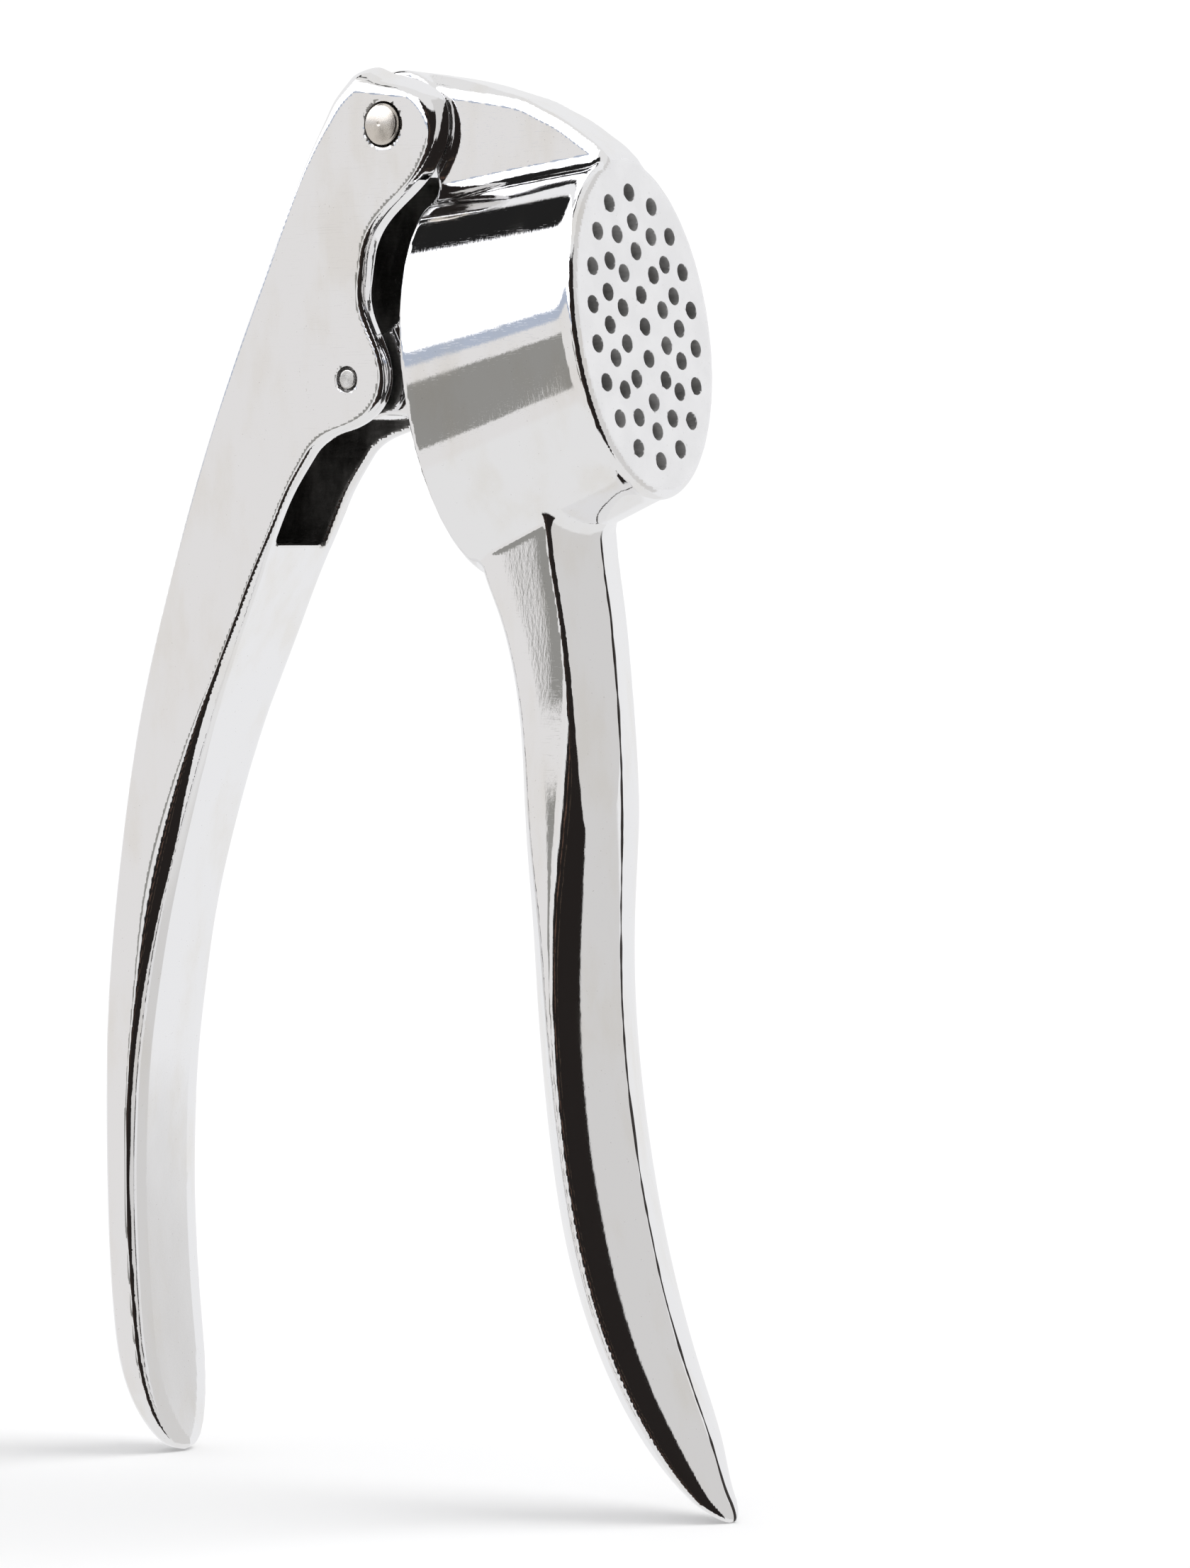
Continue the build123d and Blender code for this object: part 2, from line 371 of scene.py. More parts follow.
# The arm's curves go by x.
ARM_TOP = curve([(-8, 7.3), (0, 7.3), (6.7, 6.35), (11.7, 5.2), (16.0, 3.9), (19.2, 2.9), (22.4, 1.4),
                 (25.6, -0.2), (28.7, -2.2), (31.0, -3.8), (33.0, -5.8), (37.0, -10.6)])
ARM_HALF = curve([(4, 5.05), (9, 5.0), (13, 4.6), (18, 4.15), (25, 3.95), (34, 3.9)])
ARM_BEVEL_DROP = curve([(4, 1.9), (9, 1.8), (16, 1.0), (26, 0.7), (34, 0.7)])
ARM_BEVEL = math.radians(38)
ARM_BOTTOM = -15.5
ARM_ROUND = 0.6
ARM_CREST = 0.08
ARM_FOOT_ROUND = 1.0
HEEL_X, HEEL_Z = 5.6, -5.0
HEEL_NORMAL = (-0.983, -0.183)
EYE_R = 7.4
EYE_HALF = 5.0
EYE_ROUND = 0.6


def arm(x, y, z):
    """Web from the eye to the sieve face, narrowing forward, with softly bevelled top edges."""
    y = np.abs(y)
    top = beside(z, ARM_TOP, x)
    side = beside(y, ARM_HALF, x)
    bevel = side * math.cos(ARM_BEVEL) + (top + ARM_BEVEL_DROP(x)) * math.sin(ARM_BEVEL)
    heel = HEEL_NORMAL[0] * (x - HEEL_X) + HEEL_NORMAL[1] * (z - HEEL_Z)
    body = both(both(bevel, side, ARM_ROUND), top, ARM_CREST)
    return both(both(body, heel, ARM_ROUND), ARM_BOTTOM - z, ARM_FOOT_ROUND)


def eye(x, y, z):
    """Round boss between the fork's cheeks."""
    return both(np.hypot(x, z) - EYE_R, np.abs(y) - EYE_HALF, EYE_ROUND)


# In the functions from here to basket(), s and d are the two distances that in_barrel() gives.
def widening_oval(d, y, t, half, widening, drop, extra=0.0):
    """Oval tube whose half-axes grow by `widening`, and whose middle drops by `drop`, from t = 0 to 1."""
    return ellipse(d - drop * t, y, half[0] + widening[0] * t + extra, half[1] + widening[1] * t + extra)


def barrel(s, d, y):
    """Outside of the oval barrel, with a small flare just behind the sieve face."""
    t = np.clip(-s / BARREL_L, *WIDENING_SPAN)
    flare = RIM_FLARE * np.exp(-((s + FLARE_BACK) ** 2) / FLARE_SPREAD)
    side = widening_oval(d, y, t, BARREL_HALF, BARREL_WIDENING, BARREL_DROP, flare)
    return both(side, -BARREL_L - s, BARREL_ROUND)


def bore(s, d, y):
    """The hollow inside the barrel, closed by the sieve plate."""
    t = np.clip(-(s + PLATE_T) / (BARREL_L - PLATE_T), *WIDENING_SPAN)
    return both(widening_oval(d, y, t, BORE_HALF, BORE_WIDENING, BORE_DROP), s + PLATE_T, BORE_ROUND)


GRIP_X = curve([(-44, 21.2), (-50, 21.4), (-57, 21.6), (-64, 23.5), (-71, 24.9), (-88, 26.1), (-114, 26.1),
                (-133, 27.9), (-151, 31.9), (-164, 37.2), (-173.5, 42.6), (-179.3, 46.9), (-181.8, 49.6)])
GRIP_DEPTH = curve([(-44, 14.0), (-50, 15.0), (-57, 16.0), (-64, 14.5), (-71, 13.2), (-88, 12.7),
                    (-114, 12.7), (-133, 13.3), (-151, 13.6), (-164, 12.3), (-173.5, 9.6), (-179.3, 5.8)])
GRIP_WIDTH = curve([(-44, 15.6), (-57, 15.4), (-71, 14.8), (-88, 16.0), (-114, 17.2), (-133, 18.0),
                    (-151, 18.0), (-164, 16.3), (-173.5, 12.4), (-179.3, 7.4)])
# The powers of the front and the back half of the section: 2 is an oval, more is squarer, less is pointed.
GRIP_SQUARE = curve([(-44, 5.5), (-66, 5.0), (-77, 3.6), (-90, 2.5), (-102, 1.9), (-115, 1.7), (-181, 1.75)])
GRIP_SQUARE_BACK = curve([(-44, 5.5), (-66, 5.0), (-77, 3.6), (-90, 2.6), (-102, 1.75), (-115, 1.38),
                          (-181, 1.45)])
# How far the section's widest place lies ahead of its middle.
GRIP_WIDEST = curve([(-44, 0.0), (-85, 0.0), (-100, 0.4), (-115, 0.8), (-165, 0.7), (-181, 0.2)])
GRIP_FRONT = math.radians(21)
# How far out the two flats of the ridged front lie; lower down they clear the section and don't cut it.
GRIP_FRONT_OUT = curve([(-44, 0.0), (-66, 0.0), (-80, 0.4), (-95, 1.5), (-110, 4.0), (-181, 6.0)])
GRIP_TOP = -46.0
GRIP_LAST = -179.3
GRIP_END = 2.5
GRIP_END_LEAST = 0.0004
GRIP_SIDE_ROUND = 0.35
GRIP_ROUND = 0.5
GRIP_FILLET = 1.7
EYE_FILLET = 0.3
ARM_FILLET = 1.6
RIVET_HOLE_EDGE = 0.2


def grip(x, y, z):
    """Handle of the basket lever: squarish with a ridged front at the top, a slightly pointed oval below."""
    taper = np.sqrt(np.clip((z - FLOOR_Z) / GRIP_END, GRIP_END_LEAST, 1))
    depth, width = GRIP_DEPTH(np.maximum(z, GRIP_LAST)), GRIP_WIDTH(np.maximum(z, GRIP_LAST))
    across = x - GRIP_X(z)
    ahead = across - GRIP_WIDEST(z)
    reach = np.where(ahead > 0, depth / 2 - GRIP_WIDEST(z), depth / 2 + GRIP_WIDEST(z)) * taper
    power = np.where(ahead > 0, GRIP_SQUARE(z), GRIP_SQUARE_BACK(z))
    side = ellipse(ahead, np.hypot(y, GRIP_SIDE_ROUND), reach, width / 2 * taper, power)
    front = (across - depth / 2) * math.cos(GRIP_FRONT) + np.abs(y) * math.sin(GRIP_FRONT) - GRIP_FRONT_OUT(z)
    return np.maximum(both(side, front, GRIP_ROUND), z - GRIP_TOP)


def basket(x, y, z):
    """The whole basket lever. The holes are worked out only near the plate, and on one side of y = 0."""
    s, d = in_barrel(x, z)
    y = np.abs(y)
    solid = either(barrel(s, d, y), np.maximum(grip(x, y, z), -BARREL_L - s), GRIP_FILLET)
    top = either(arm(x, y, z), eye(x, y, z), EYE_FILLET)
    solid = either(solid, top, ARM_FILLET)
    solid = both(solid, s, RIM_ROUND)
    solid = both(solid, -bore(s, d, y), BORE_EDGE)
    solid = both(solid, RIVET_HOLE_R - np.hypot(x, z), RIVET_HOLE_EDGE)
    near = (s > -PLATE_T - HOLES_MARGIN) & (s < HOLES_MARGIN)
    near = near & (np.abs(d) < HOLES_HALF[0] + 1) & (y < HOLES_HALF[1] + 1)
    if near.any():
        sn, dn, yn = s[near], d[near], y[near]
        hole = np.full(sn.shape, NO_HOLE)
        for along, across in HOLES:
            # y is never negative here, so the other side's holes are left out.
            if across >= -0.01:
                hole = np.minimum(hole, np.hypot(dn - along, yn - across) - HOLE_R)
        solid[near] = both(solid[near], -hole, HOLE_EDGE)
    return solid


# ---------------------------------------------------------------- plunger lever

HEAD_R = 8.65
LOBE_R = 6.3
LOBE_UP = 0.2
LOBE_FILLET = 6.0
# The fillet between head and strap: its radius at the upper height, and what it gains by the lower one.
HEAD_FILLET = (0.5, 8.5)
HEAD_FILLET_FROM, HEAD_FILLET_TO = 2.0, -7.0
HEAD_TOP_X, HEAD_TOP_Z = -4.4, 8.45
HEAD_TOP_NORMAL = (0.181, 0.983)
HEAD_TOP_ROUND = 2.2
STRAP_FOOT_ROUND = 1.2
BACK = curve([(12.0, -1.0), (8.5, -4.9), (7.2, -6.9), (5.8, -8.4), (3.9, -9.8), (1.6, -10.7), (-5.0, -13.6),
              (-22.2, -22.45), (-39.3, -30.5), (-59.5, -37.9), (-78, -43.5), (-98, -47.6), (-118, -50.3),
              (-138, -51.1), (-157.5, -50.6), (-167, -49.6), (-175, -47.7), (-181.8, -44.8)])
FRONT = curve([(12, 1.0), (0, 0.0), (-8, -1.6), (-14, -3.0), (-18.7, -3.9), (-25, -4.9), (-35, -8.4),
               (-42, -12.6), (-48.4, -17.4), (-53.2, -20.0), (-68.2, -27.0), (-78, -31.4), (-97.5, -38.3),
               (-107.4, -41.1), (-117.3, -43.1), (-127, -44.6), (-137, -45.3), (-147, -45.4), (-157, -44.9),
               (-167, -43.9), (-175, -42.6), (-181.8, -41.0)])
HALF_WIDTH = curve([(12, 8.9), (-3, 8.85), (-20, 8.1), (-38, 7.5), (-60, 7.4), (-90, 7.4), (-125, 7.4),
                    (-150, 7.3), (-182, 7.2)])
FACET_TILT = math.radians(30)
# The bevel's width, seen from in front; below zero there is none.
FACET = curve([(10, -2.0), (-30, -2.0), (-44, -0.8), (-52, 0.2), (-58, 1.0), (-68, 1.35), (-79, 1.9),
               (-95, 2.2), (-108, 2.1), (-125, 1.8), (-150, 1.6), (-182, 1.5)])
# Radii of the lever's edges. EDGE: front to side. INNER_EDGE: front to bevel. BACK_EDGE: to back and top.
EDGE = curve([(10, 4.4), (5.5, 4.3), (2.5, 3.0), (-1, 1.5), (-5, 1.0), (-12, 0.9), (-45, 0.9), (-55, 0.3),
              (-75, 0.4), (-88, 1.1), (-99, 1.6), (-112, 1.0), (-128, 0.5), (-145, 0.35), (-182, 0.35)])
INNER_EDGE = curve([(10, 0.3), (-80, 0.3), (-100, 0.5), (-120, 0.6), (-145, 0.6), (-182, 0.8)])
BACK_EDGE = curve([(12, 4.4), (5.5, 4.3), (3.5, 3.6), (-0.7, 1.8), (-5, 0.9), (-15, 0.7), (-25, 0.7),
                   (-45, 0.5), (-75, 0.5), (-100, 1.0), (-130, 1.8), (-182, 2.2)])
# A curve runs on past its ends, so the radii are held within these limits.
EDGE_LIMITS = (0.25, 4.4)
INNER_EDGE_LIMITS = (0.2, 2)
BACK_EDGE_LIMITS = (0.3, 4.4)
SLOT_HALF = 5.2
SLOT_BACK = curve([(2.5, -7.6), (0, -8.0), (-8, -12.4), (-23.5, -20.6), (-41, -28.2), (-55.3, -31.7)])
SLOT_OPEN_X, SLOT_OPEN_Z = -20.0, 2.5
SLOT_FLOOR = -55.3
SLOT_ROUND = 0.8
TONGUE_TOP = -164.0
TONGUE_POWER = 2.4
TONGUE_REACH = 1.05
TONGUE_LEAN = 0.25
TONGUE_LEAN_POWER = 6
TONGUE_LEAST = 0.12
CHEEK_HOLE_EDGE = 0.15
PIN_HOLE_R = 1.3
PIN_HOLE_EDGE = 0.05
# A wider round recess at each end of the pin, outward from y = SINK_FROM.
SINK_R = 1.75
SINK_FROM = 7.0
SINK_EDGE = 0.08


def strap_side(y, z):
    """Distance past the side of the strap, which narrows to a rounded tongue at the bottom."""
    reach = np.clip((TONGUE_TOP - z) / (TONGUE_TOP - FLOOR_Z), 0, TONGUE_REACH)
    tongue = np.sqrt(np.maximum(1 - reach**TONGUE_POWER, 0.0))
    side = y - HALF_WIDTH(z) * tongue
    # The tongue's side leans, so the distance is divided by about its slope to stay near the true one.
    lean = TONGUE_LEAN * reach**TONGUE_LEAN_POWER / np.maximum(tongue, TONGUE_LEAST)
    return side / np.sqrt(1 + lean**2)


def strap_front(x, z):
    """Distance past the front of the lever: round head, strap and the lobe on the pin, run together."""
    head = np.hypot(x, z) - HEAD_R
    lobe = np.hypot(x - PIN_X, z - PIN_Z - LOBE_UP) - LOBE_R
    strap = beside(x, FRONT, z)
    fillet = HEAD_FILLET[0] + HEAD_FILLET[1] * ramp(z, HEAD_FILLET_FROM, HEAD_FILLET_TO)
    return either(either(head, strap, fillet), lobe, LOBE_FILLET)


def slot(x, y, z):
    """The gap between the cheeks, open to the back above SLOT_OPEN_Z."""
    wall = np.where(z > SLOT_OPEN_Z, SLOT_OPEN_X - x, beside(x, SLOT_BACK, z, -1))
    gap = both(y - SLOT_HALF, wall, SLOT_ROUND)
    return both(gap, SLOT_FLOOR - z, SLOT_ROUND)


def lever(x, y, z):
    """Forked head round an open slot, running down into a strap handle with a bevelled inner edge."""
    y = np.abs(y)
    side, front = strap_side(y, z), strap_front(x, z)
    bevel = front * math.cos(FACET_TILT) + side * math.sin(FACET_TILT) + FACET(z) * math.sin(FACET_TILT)
    body = both(front, bevel, np.clip(INNER_EDGE(z), *INNER_EDGE_LIMITS))
    body = both(body, side, np.clip(EDGE(z), *EDGE_LIMITS))
    top = HEAD_TOP_NORMAL[1] * (z - HEAD_TOP_Z) + HEAD_TOP_NORMAL[0] * (x - HEAD_TOP_X)
    rear = both(beside(x, BACK, z, -1), top, HEAD_TOP_ROUND)
    body = both(body, rear, np.clip(BACK_EDGE(z), *BACK_EDGE_LIMITS))
    body = both(body, FLOOR_Z - z, STRAP_FOOT_ROUND)
    body = both(body, -slot(x, y, z), SLOT_ROUND)
    body = both(body, RIVET_HOLE_R - np.hypot(x, z), CHEEK_HOLE_EDGE)
    from_pin = np.hypot(x - PIN_X, z - PIN_Z)
    body = both(body, PIN_HOLE_R - from_pin, PIN_HOLE_EDGE)
    return both(body, -both(from_pin - SINK_R, SINK_FROM - y), SINK_EDGE)


# ---------------------------------------------------------------- plunger, rivet and pin

PISTON_REACH, PISTON_T, PISTON_RISE = 28.0, 6.0, 1.1
PISTON_HALF = (18.3, 12.2)
PISTON_FACE_ROUND = 0.6
PISTON_BACK_ROUND = 0.9
PISTON_FILLET = 1.5
LUG_R = 5.2
LUG_HOLE_R = 1.35
LUG_HOLE_EDGE = 0.1
LUG_FILLET = 1.0
RIB_HALF = 4.1
RIB_END = 24
RIB_ROUND = 0.5
# Half the rib's height at the lug, and how much it grows above and below over RIB_GROWTH along it.
RIB_HEIGHT = 5.0
RIB_RISE, RIB_FALL = 10.5, 6.0
RIB_GROWTH = 16.0
# The rib's edges slope, so the distance from them is scaled down by this.
RIB_SLOPE_SCALE = 0.8
RIVET_R = 2.78
DOME_R = 7.0
RIVET_ROUND = 0.35
DIMPLE_R, DIMPLE_UP = 0.5, 0.42
DIMPLE_EDGE = 0.05
PIN_R = 1.29
PIN_END_ROUND = 0.18


def plunger(x, y, z):
    """Oval piston on a rib that runs back to the lug on the pin."""
    y = np.abs(y)
    c, s = SIEVE_AXIS[0], SIEVE_AXIS[2]
    dx, dz = x - PIN_X, z - PIN_Z
    along, up = dx * c + dz * s, dz * c - dx * s
    piston = ellipse(up - PISTON_RISE, y, *PISTON_HALF)
    piston = both(piston, along - PISTON_REACH, PISTON_FACE_ROUND)
    piston = both(piston, PISTON_REACH - PISTON_T - along, PISTON_BACK_ROUND)
    t = np.clip(along / RIB_GROWTH, 0, 1)
    rib = np.maximum(up - (RIB_HEIGHT + RIB_RISE * t * t), -up - (RIB_HEIGHT + RIB_FALL * t * t))
    rib = rib * RIB_SLOPE_SCALE
    rib = np.maximum(np.maximum(rib, -along), along - RIB_END)
    rib = both(either(np.hypot(dx, dz) - LUG_R, rib, LUG_FILLET), y - RIB_HALF, RIB_ROUND)
    return both(either(rib, piston, PISTON_FILLET), LUG_HOLE_R - np.hypot(dx, dz), LUG_HOLE_EDGE)


def dome(x, y, z):
    """Rivet: a shank with a low domed head at each end and a small dimple in each head."""
    r = np.hypot(x, z)
    over = np.abs(y) - RIVET_TOP
    ball = np.sqrt(r**2 + (over + DOME_R) ** 2) - DOME_R
    dimple = DIMPLE_R - np.sqrt(r**2 + (over - DIMPLE_UP) ** 2)
    return both(both(ball, r - RIVET_R, RIVET_ROUND), dimple, DIMPLE_EDGE)


def pin(x, y, z):
    """Pin with a slightly rounded, flat end."""
    return both(np.hypot(x - PIN_X, z - PIN_Z) - PIN_R, np.abs(y) - PIN_TOP, PIN_END_ROUND)


# ---------------------------------------------------------------- materials

def node(tree, kind, *inputs, **settings):
    """A new node. Plain values fill its inputs in order; settings name other inputs or properties."""
    made = tree.nodes.new("ShaderNode" + kind)
    named = [(made.inputs[name], value) for name, value in settings.items() if name in made.inputs]
    for name, value in settings.items():
        if name not in made.inputs:
            setattr(made, name, value)
    for socket, value in list(zip(made.inputs, inputs)) + named:
        if isinstance(value, bpy.types.NodeSocket):
            tree.links.new(value, socket)
        elif value is not None:
            socket.default_value = value
    return made.outputs[0]


def calc(tree, operation, *inputs):
    """A Math node's output."""
    return node(tree, "Math", *inputs, operation=operation)


def fade(tree, value, start, end, low=0.0, high=1.0):
    """low where value is start, high where it is end, smooth between them."""
    return node(tree, "MapRange", value, start, end, low, high, interpolation_type="SMOOTHSTEP")


def blend(tree, factor, first, second):
    """Colour mix: first where factor is 0, second where it is 1."""
    mix = tree.nodes.new("ShaderNodeMix")
    mix.data_type = "RGBA"
    for name, value in (("Factor", factor), ("A", first), ("B", second)):
        if isinstance(value, bpy.types.NodeSocket):
            tree.links.new(value, mix.inputs[name])
        else:
            mix.inputs[name].default_value = value
    return mix.outputs["Result"]


def grain(tree, size, stretch=(1, 1, 1), detail=2.0, turn=(0, 0, 0)):
    """Noise with features `size` millimetres across, drawn out by `stretch` along each axis after a turn."""
    place = node(tree, "TexCoord").node.outputs["Object"]
    place = node(tree, "VectorRotate", place, rotation_type="EULER_XYZ", Rotation=turn)
    place = node(tree, "VectorMath", place, tuple(1 / MM / (size * k) for k in stretch), operation="MULTIPLY")
    return node(tree, "TexNoise", place, Scale=1.0, Detail=detail, Roughness=0.55)


# The noise at a scratch's edge and where it is full, before the share of scratches lowers both.
SCRATCH_FROM, SCRATCH_FULL = 0.72, 0.80


def scratches(tree, length, width, turn, share):
    """Thin straight lines in one direction: 1 on a line, 0 off it. A larger share gives more of them."""
    lines = grain(tree, width, (length / width, 1, 1), 1.0, turn)
    return fade(tree, lines, SCRATCH_FROM - share, SCRATCH_FULL - share)


def relief(tree, *layers):
    """Bump from (height, millimetres) layers, one on top of another."""
    normal = None
    for height, depth in layers:
        bump = tree.nodes.new("ShaderNodeBump")
        bump.inputs["Distance"].default_value = depth * MM
        tree.links.new(height, bump.inputs["Height"])
        if normal:
            tree.links.new(normal, bump.inputs["Normal"])
        normal = bump.outputs["Normal"]
    return normal


def metal(name):
    """A new metallic material, its node tree and its shader."""
    made = bpy.data.materials.new(name)
    made.use_nodes = True
    shader = made.node_tree.nodes["Principled BSDF"]
    shader.inputs["Metallic"].default_value = 1.0
    return made, made.node_tree, shader


def finish(tree, shader, color, rough, normal):
    """Wire a colour, a roughness and a normal into the shader."""
    tree.links.new(color, shader.inputs["Base Color"])
    tree.links.new(rough, shader.inputs["Roughness"])
    tree.links.new(normal, shader.inputs["Normal"])


# The parting line fades in between these two heights, in metres above the floor; its near-black colour is a
# painted dark reflection.
SEAM_TOP, SEAM_FULL = 0.1285, 0.1270
# In millimetres: how wide a strip it wanders in, and half its width where it is thin and where it is thick.
SEAM_WANDER = 0.5
SEAM_THIN, SEAM_THICK = 0.10, 0.34


def painted_dark_seam(tree):
    """1 on the mould's parting line down the handle's front, 0 beside it; it wanders and thins a little.
    Where it is 1 the chrome is coloured near-black, a painted dark reflection.
    """
    place = node(tree, "TexCoord").node.outputs["Object"]
    place = node(tree, "SeparateXYZ", place).node.outputs
    facing = node(tree, "SeparateXYZ", node(tree, "NewGeometry").node.outputs["Normal"]).node.outputs
    wander = calc(tree, "SUBTRACT", grain(tree, 11.0, detail=2.0), 0.5)
    wander = calc(tree, "MULTIPLY", wander, SEAM_WANDER * MM)
    away = calc(tree, "ABSOLUTE", calc(tree, "ADD", place["Y"], wander))
    width = fade(tree, grain(tree, 6.0, detail=2.0), 0.3, 0.7, SEAM_THIN * MM, SEAM_THICK * MM)
    on_line = calc(tree, "LESS_THAN", away, width)
    low = fade(tree, place["Z"], SEAM_TOP, SEAM_FULL)
    return calc(tree, "MULTIPLY", on_line, calc(tree, "MULTIPLY", low, fade(tree, facing["X"], 0.3, 0.5)))


def polished_chrome(name, ragged, with_painted_dark_seam=False):
    """Mirror chrome over a buffed casting: slow waves, buffing marks `ragged` mm deep, scratches, smears."""
    made, tree, shader = metal(name)
    waves = grain(tree, 9.0, detail=1.0)
    buffed = grain(tree, 0.75, (0.45, 1.6, 1.6), 3.0)
    pits = grain(tree, 0.35, detail=1.0)
    smear = fade(tree, grain(tree, 7.0, (1, 1, 2.5), 4.0), 0.46, 0.72)
    fine = scratches(tree, 6.0, 0.09, (0.3, 0.9, 0.5), 0.06)
    crossed = scratches(tree, 4.0, 0.07, (0.1, -0.5, 1.2), 0.04)
    lines = calc(tree, "MAXIMUM", fine, crossed)
    color = blend(tree, smear, (0.935, 0.935, 0.945, 1), (0.90, 0.885, 0.865, 1))
    color = blend(tree, fade(tree, pits, 0.74, 0.80, 0.0, 0.35), color, (0.45, 0.42, 0.40, 1))
    if with_painted_dark_seam:
        # A real mould parting line, but its near-black colour is a painted dark reflection, not the plating's
        # own colour.
        color = blend(tree, painted_dark_seam(tree), color, (0.035, 0.03, 0.028, 1))
    rough = calc(tree, "ADD", fade(tree, smear, 0.0, 1.0, 0.025, 0.075), calc(tree, "MULTIPLY", lines, 0.05))
    normal = relief(tree, (waves, 0.022), (buffed, ragged), (pits, 0.0004), (lines, 0.0004))
    finish(tree, shader, color, rough, normal)
    return made


def ground_face(name):
    """The sieve face: ground flat, pale and satin, with fine crossing scratches and grey specks."""
    made, tree, shader = metal(name)
    cloud = grain(tree, 5.0, detail=4.0)
    specks = fade(tree, grain(tree, 0.4, detail=2.0), 0.66, 0.78)
    first = scratches(tree, 9.0, 0.12, (0.0, 0.15, 0.4), 0.10)
    second = scratches(tree, 7.0, 0.10, (1.1, 0.15, 1.3), 0.08)
    lines = calc(tree, "MAXIMUM", first, second)
    color = blend(tree, fade(tree, cloud, 0.35, 0.65), (0.89, 0.89, 0.90, 1), (0.85, 0.85, 0.86, 1))
    color = blend(tree, calc(tree, "MULTIPLY", specks, 0.45), color, (0.55, 0.54, 0.53, 1))
    rough = fade(tree, lines, 0.0, 1.0, 0.30, 0.44)
    shader.inputs["Metallic"].default_value = 0.62
    finish(tree, shader, color, rough, relief(tree, (cloud, 0.004), (lines, 0.0016)))
    return made


def rough_casting_painted_shade_and_light(name, dark, light, dull, metallic=1.0):
    """Inside the fork, the bore and the holes: the casting as it came, thinly plated and dull, with painted
    light in its colours: dark colours paint the shade in the slot and the bore, paler ones paint light on the
    hole walls.
    """
    made, tree, shader = metal(name)
    sand = grain(tree, 0.28, detail=3.0)
    cloud = grain(tree, 4.0, (1, 1, 2), 3.0)
    drawn = grain(tree, 0.3, (9, 1, 1), 2.0)
    color = blend(tree, fade(tree, cloud, 0.35, 0.68), (*dark, 1), (*light, 1))
    color = blend(tree, fade(tree, sand, 0.60, 0.75, 0.0, 0.5), color, (0.62, 0.61, 0.60, 1))
    rough = fade(tree, drawn, 0.35, 0.65, dull, dull + 0.2)
    shader.inputs["Metallic"].default_value = metallic
    finish(tree, shader, color, rough, relief(tree, (sand, 0.018), (drawn, 0.006)))
    return made


def turned_metal(name, centre, pale, warm, ring):
    """A rivet or pin end: satin, with fine rings round its centre left by the tool, and a few stains."""
    made, tree, shader = metal(name)
    place = node(tree, "TexCoord").node.outputs["Object"]
    place = node(tree, "VectorMath", place, tuple(-c for c in centre), operation="ADD")
    flat = node(tree, "VectorMath", place, (1 / MM, 0.0, 1 / MM), operation="MULTIPLY")
    radius = node(tree, "VectorMath", flat, operation="LENGTH").node.outputs["Value"]
    turns = calc(tree, "SINE", calc(tree, "MULTIPLY", radius, 2 * math.pi / ring))
    stain = fade(tree, grain(tree, 1.6, detail=4.0), 0.42, 0.70)
    sand = grain(tree, 0.12, detail=2.0)
    color = blend(tree, stain, (*pale, 1), (*warm, 1))
    rough = fade(tree, sand, 0.3, 0.7, 0.20, 0.33)
    finish(tree, shader, color, rough, relief(tree, (turns, 0.0022), (sand, 0.0012)))
    return made


def matt_floor(name):
    """Plain pale floor with faint clouds and no shine."""
    made = bpy.data.materials.new(name)
    made.use_nodes = True
    tree, shader = made.node_tree, made.node_tree.nodes["Principled BSDF"]
    shader.inputs["Specular IOR Level"].default_value = 0.0
    cloud = grain(tree, 60.0, detail=3.0)
    color = blend(tree, cloud, (0.955, 0.955, 0.955, 1), (0.965, 0.965, 0.965, 1))
    finish(tree, shader, color, fade(tree, cloud, 0.3, 0.7, 0.8, 0.9), relief(tree, (cloud, 0.05)))
    return made


# The basket's chrome has the deeper buffing marks, and it alone shows a parting line, painted near-black as a
# painted dark reflection.
chrome = polished_chrome("chrome", 0.005, with_painted_dark_seam=True)
chrome_flat = polished_chrome("chrome_flat", 0.0012)
satin = ground_face("ground_face")
# Dull casting whose dark colours are painted shade for the bore, the slot and the pin and rivet holes.
cast_painted_shade = rough_casting_painted_shade_and_light("rough_casting_painted_shade_and_light", (0.16, 0.155, 0.15), (0.50, 0.49, 0.48), 0.50)
# Sieve hole walls: a paler colour and lower metalness are painted light that brightens walls which lie half
# in shade.
hole_wall_painted_light = rough_casting_painted_shade_and_light("hole_wall_painted_light", (0.50, 0.495, 0.49), (0.82, 0.815, 0.81), 0.38, 0.72)
nickel = turned_metal("rivet_nickel", PIVOT, (0.74, 0.695, 0.635), (0.64, 0.595, 0.54), 0.16)
pin_centre = PIVOT + np.array([PIN_X, 0, PIN_Z]) * MM
pin_steel = turned_metal("pin_steel", pin_centre, (0.74, 0.73, 0.71), (0.66, 0.64, 0.61), 0.11)


# ---------------------------------------------------------------- pieces

# Grid steps: fine at the handle tips and round the heads, coarser down the handles, finest for rivet and pin.
HEAD_STEP = 0.425
TIP_STEP = 0.36
GRIP_STEP = 0.9
STRAP_STEP = 0.8
PLUNGER_STEP = 0.5
RIVET_STEP = 0.25
PIN_STEP = 0.15
# Heights where a lever's grid starts, changes its step and ends.
BELOW_FLOOR = FLOOR_Z - 0.6
BASKET_TIP, BASKET_NECK, BASKET_TOP = -172, -60, 9.4
LEVER_TIP, LEVER_NECK, LEVER_TOP = -160, -64, 10.4

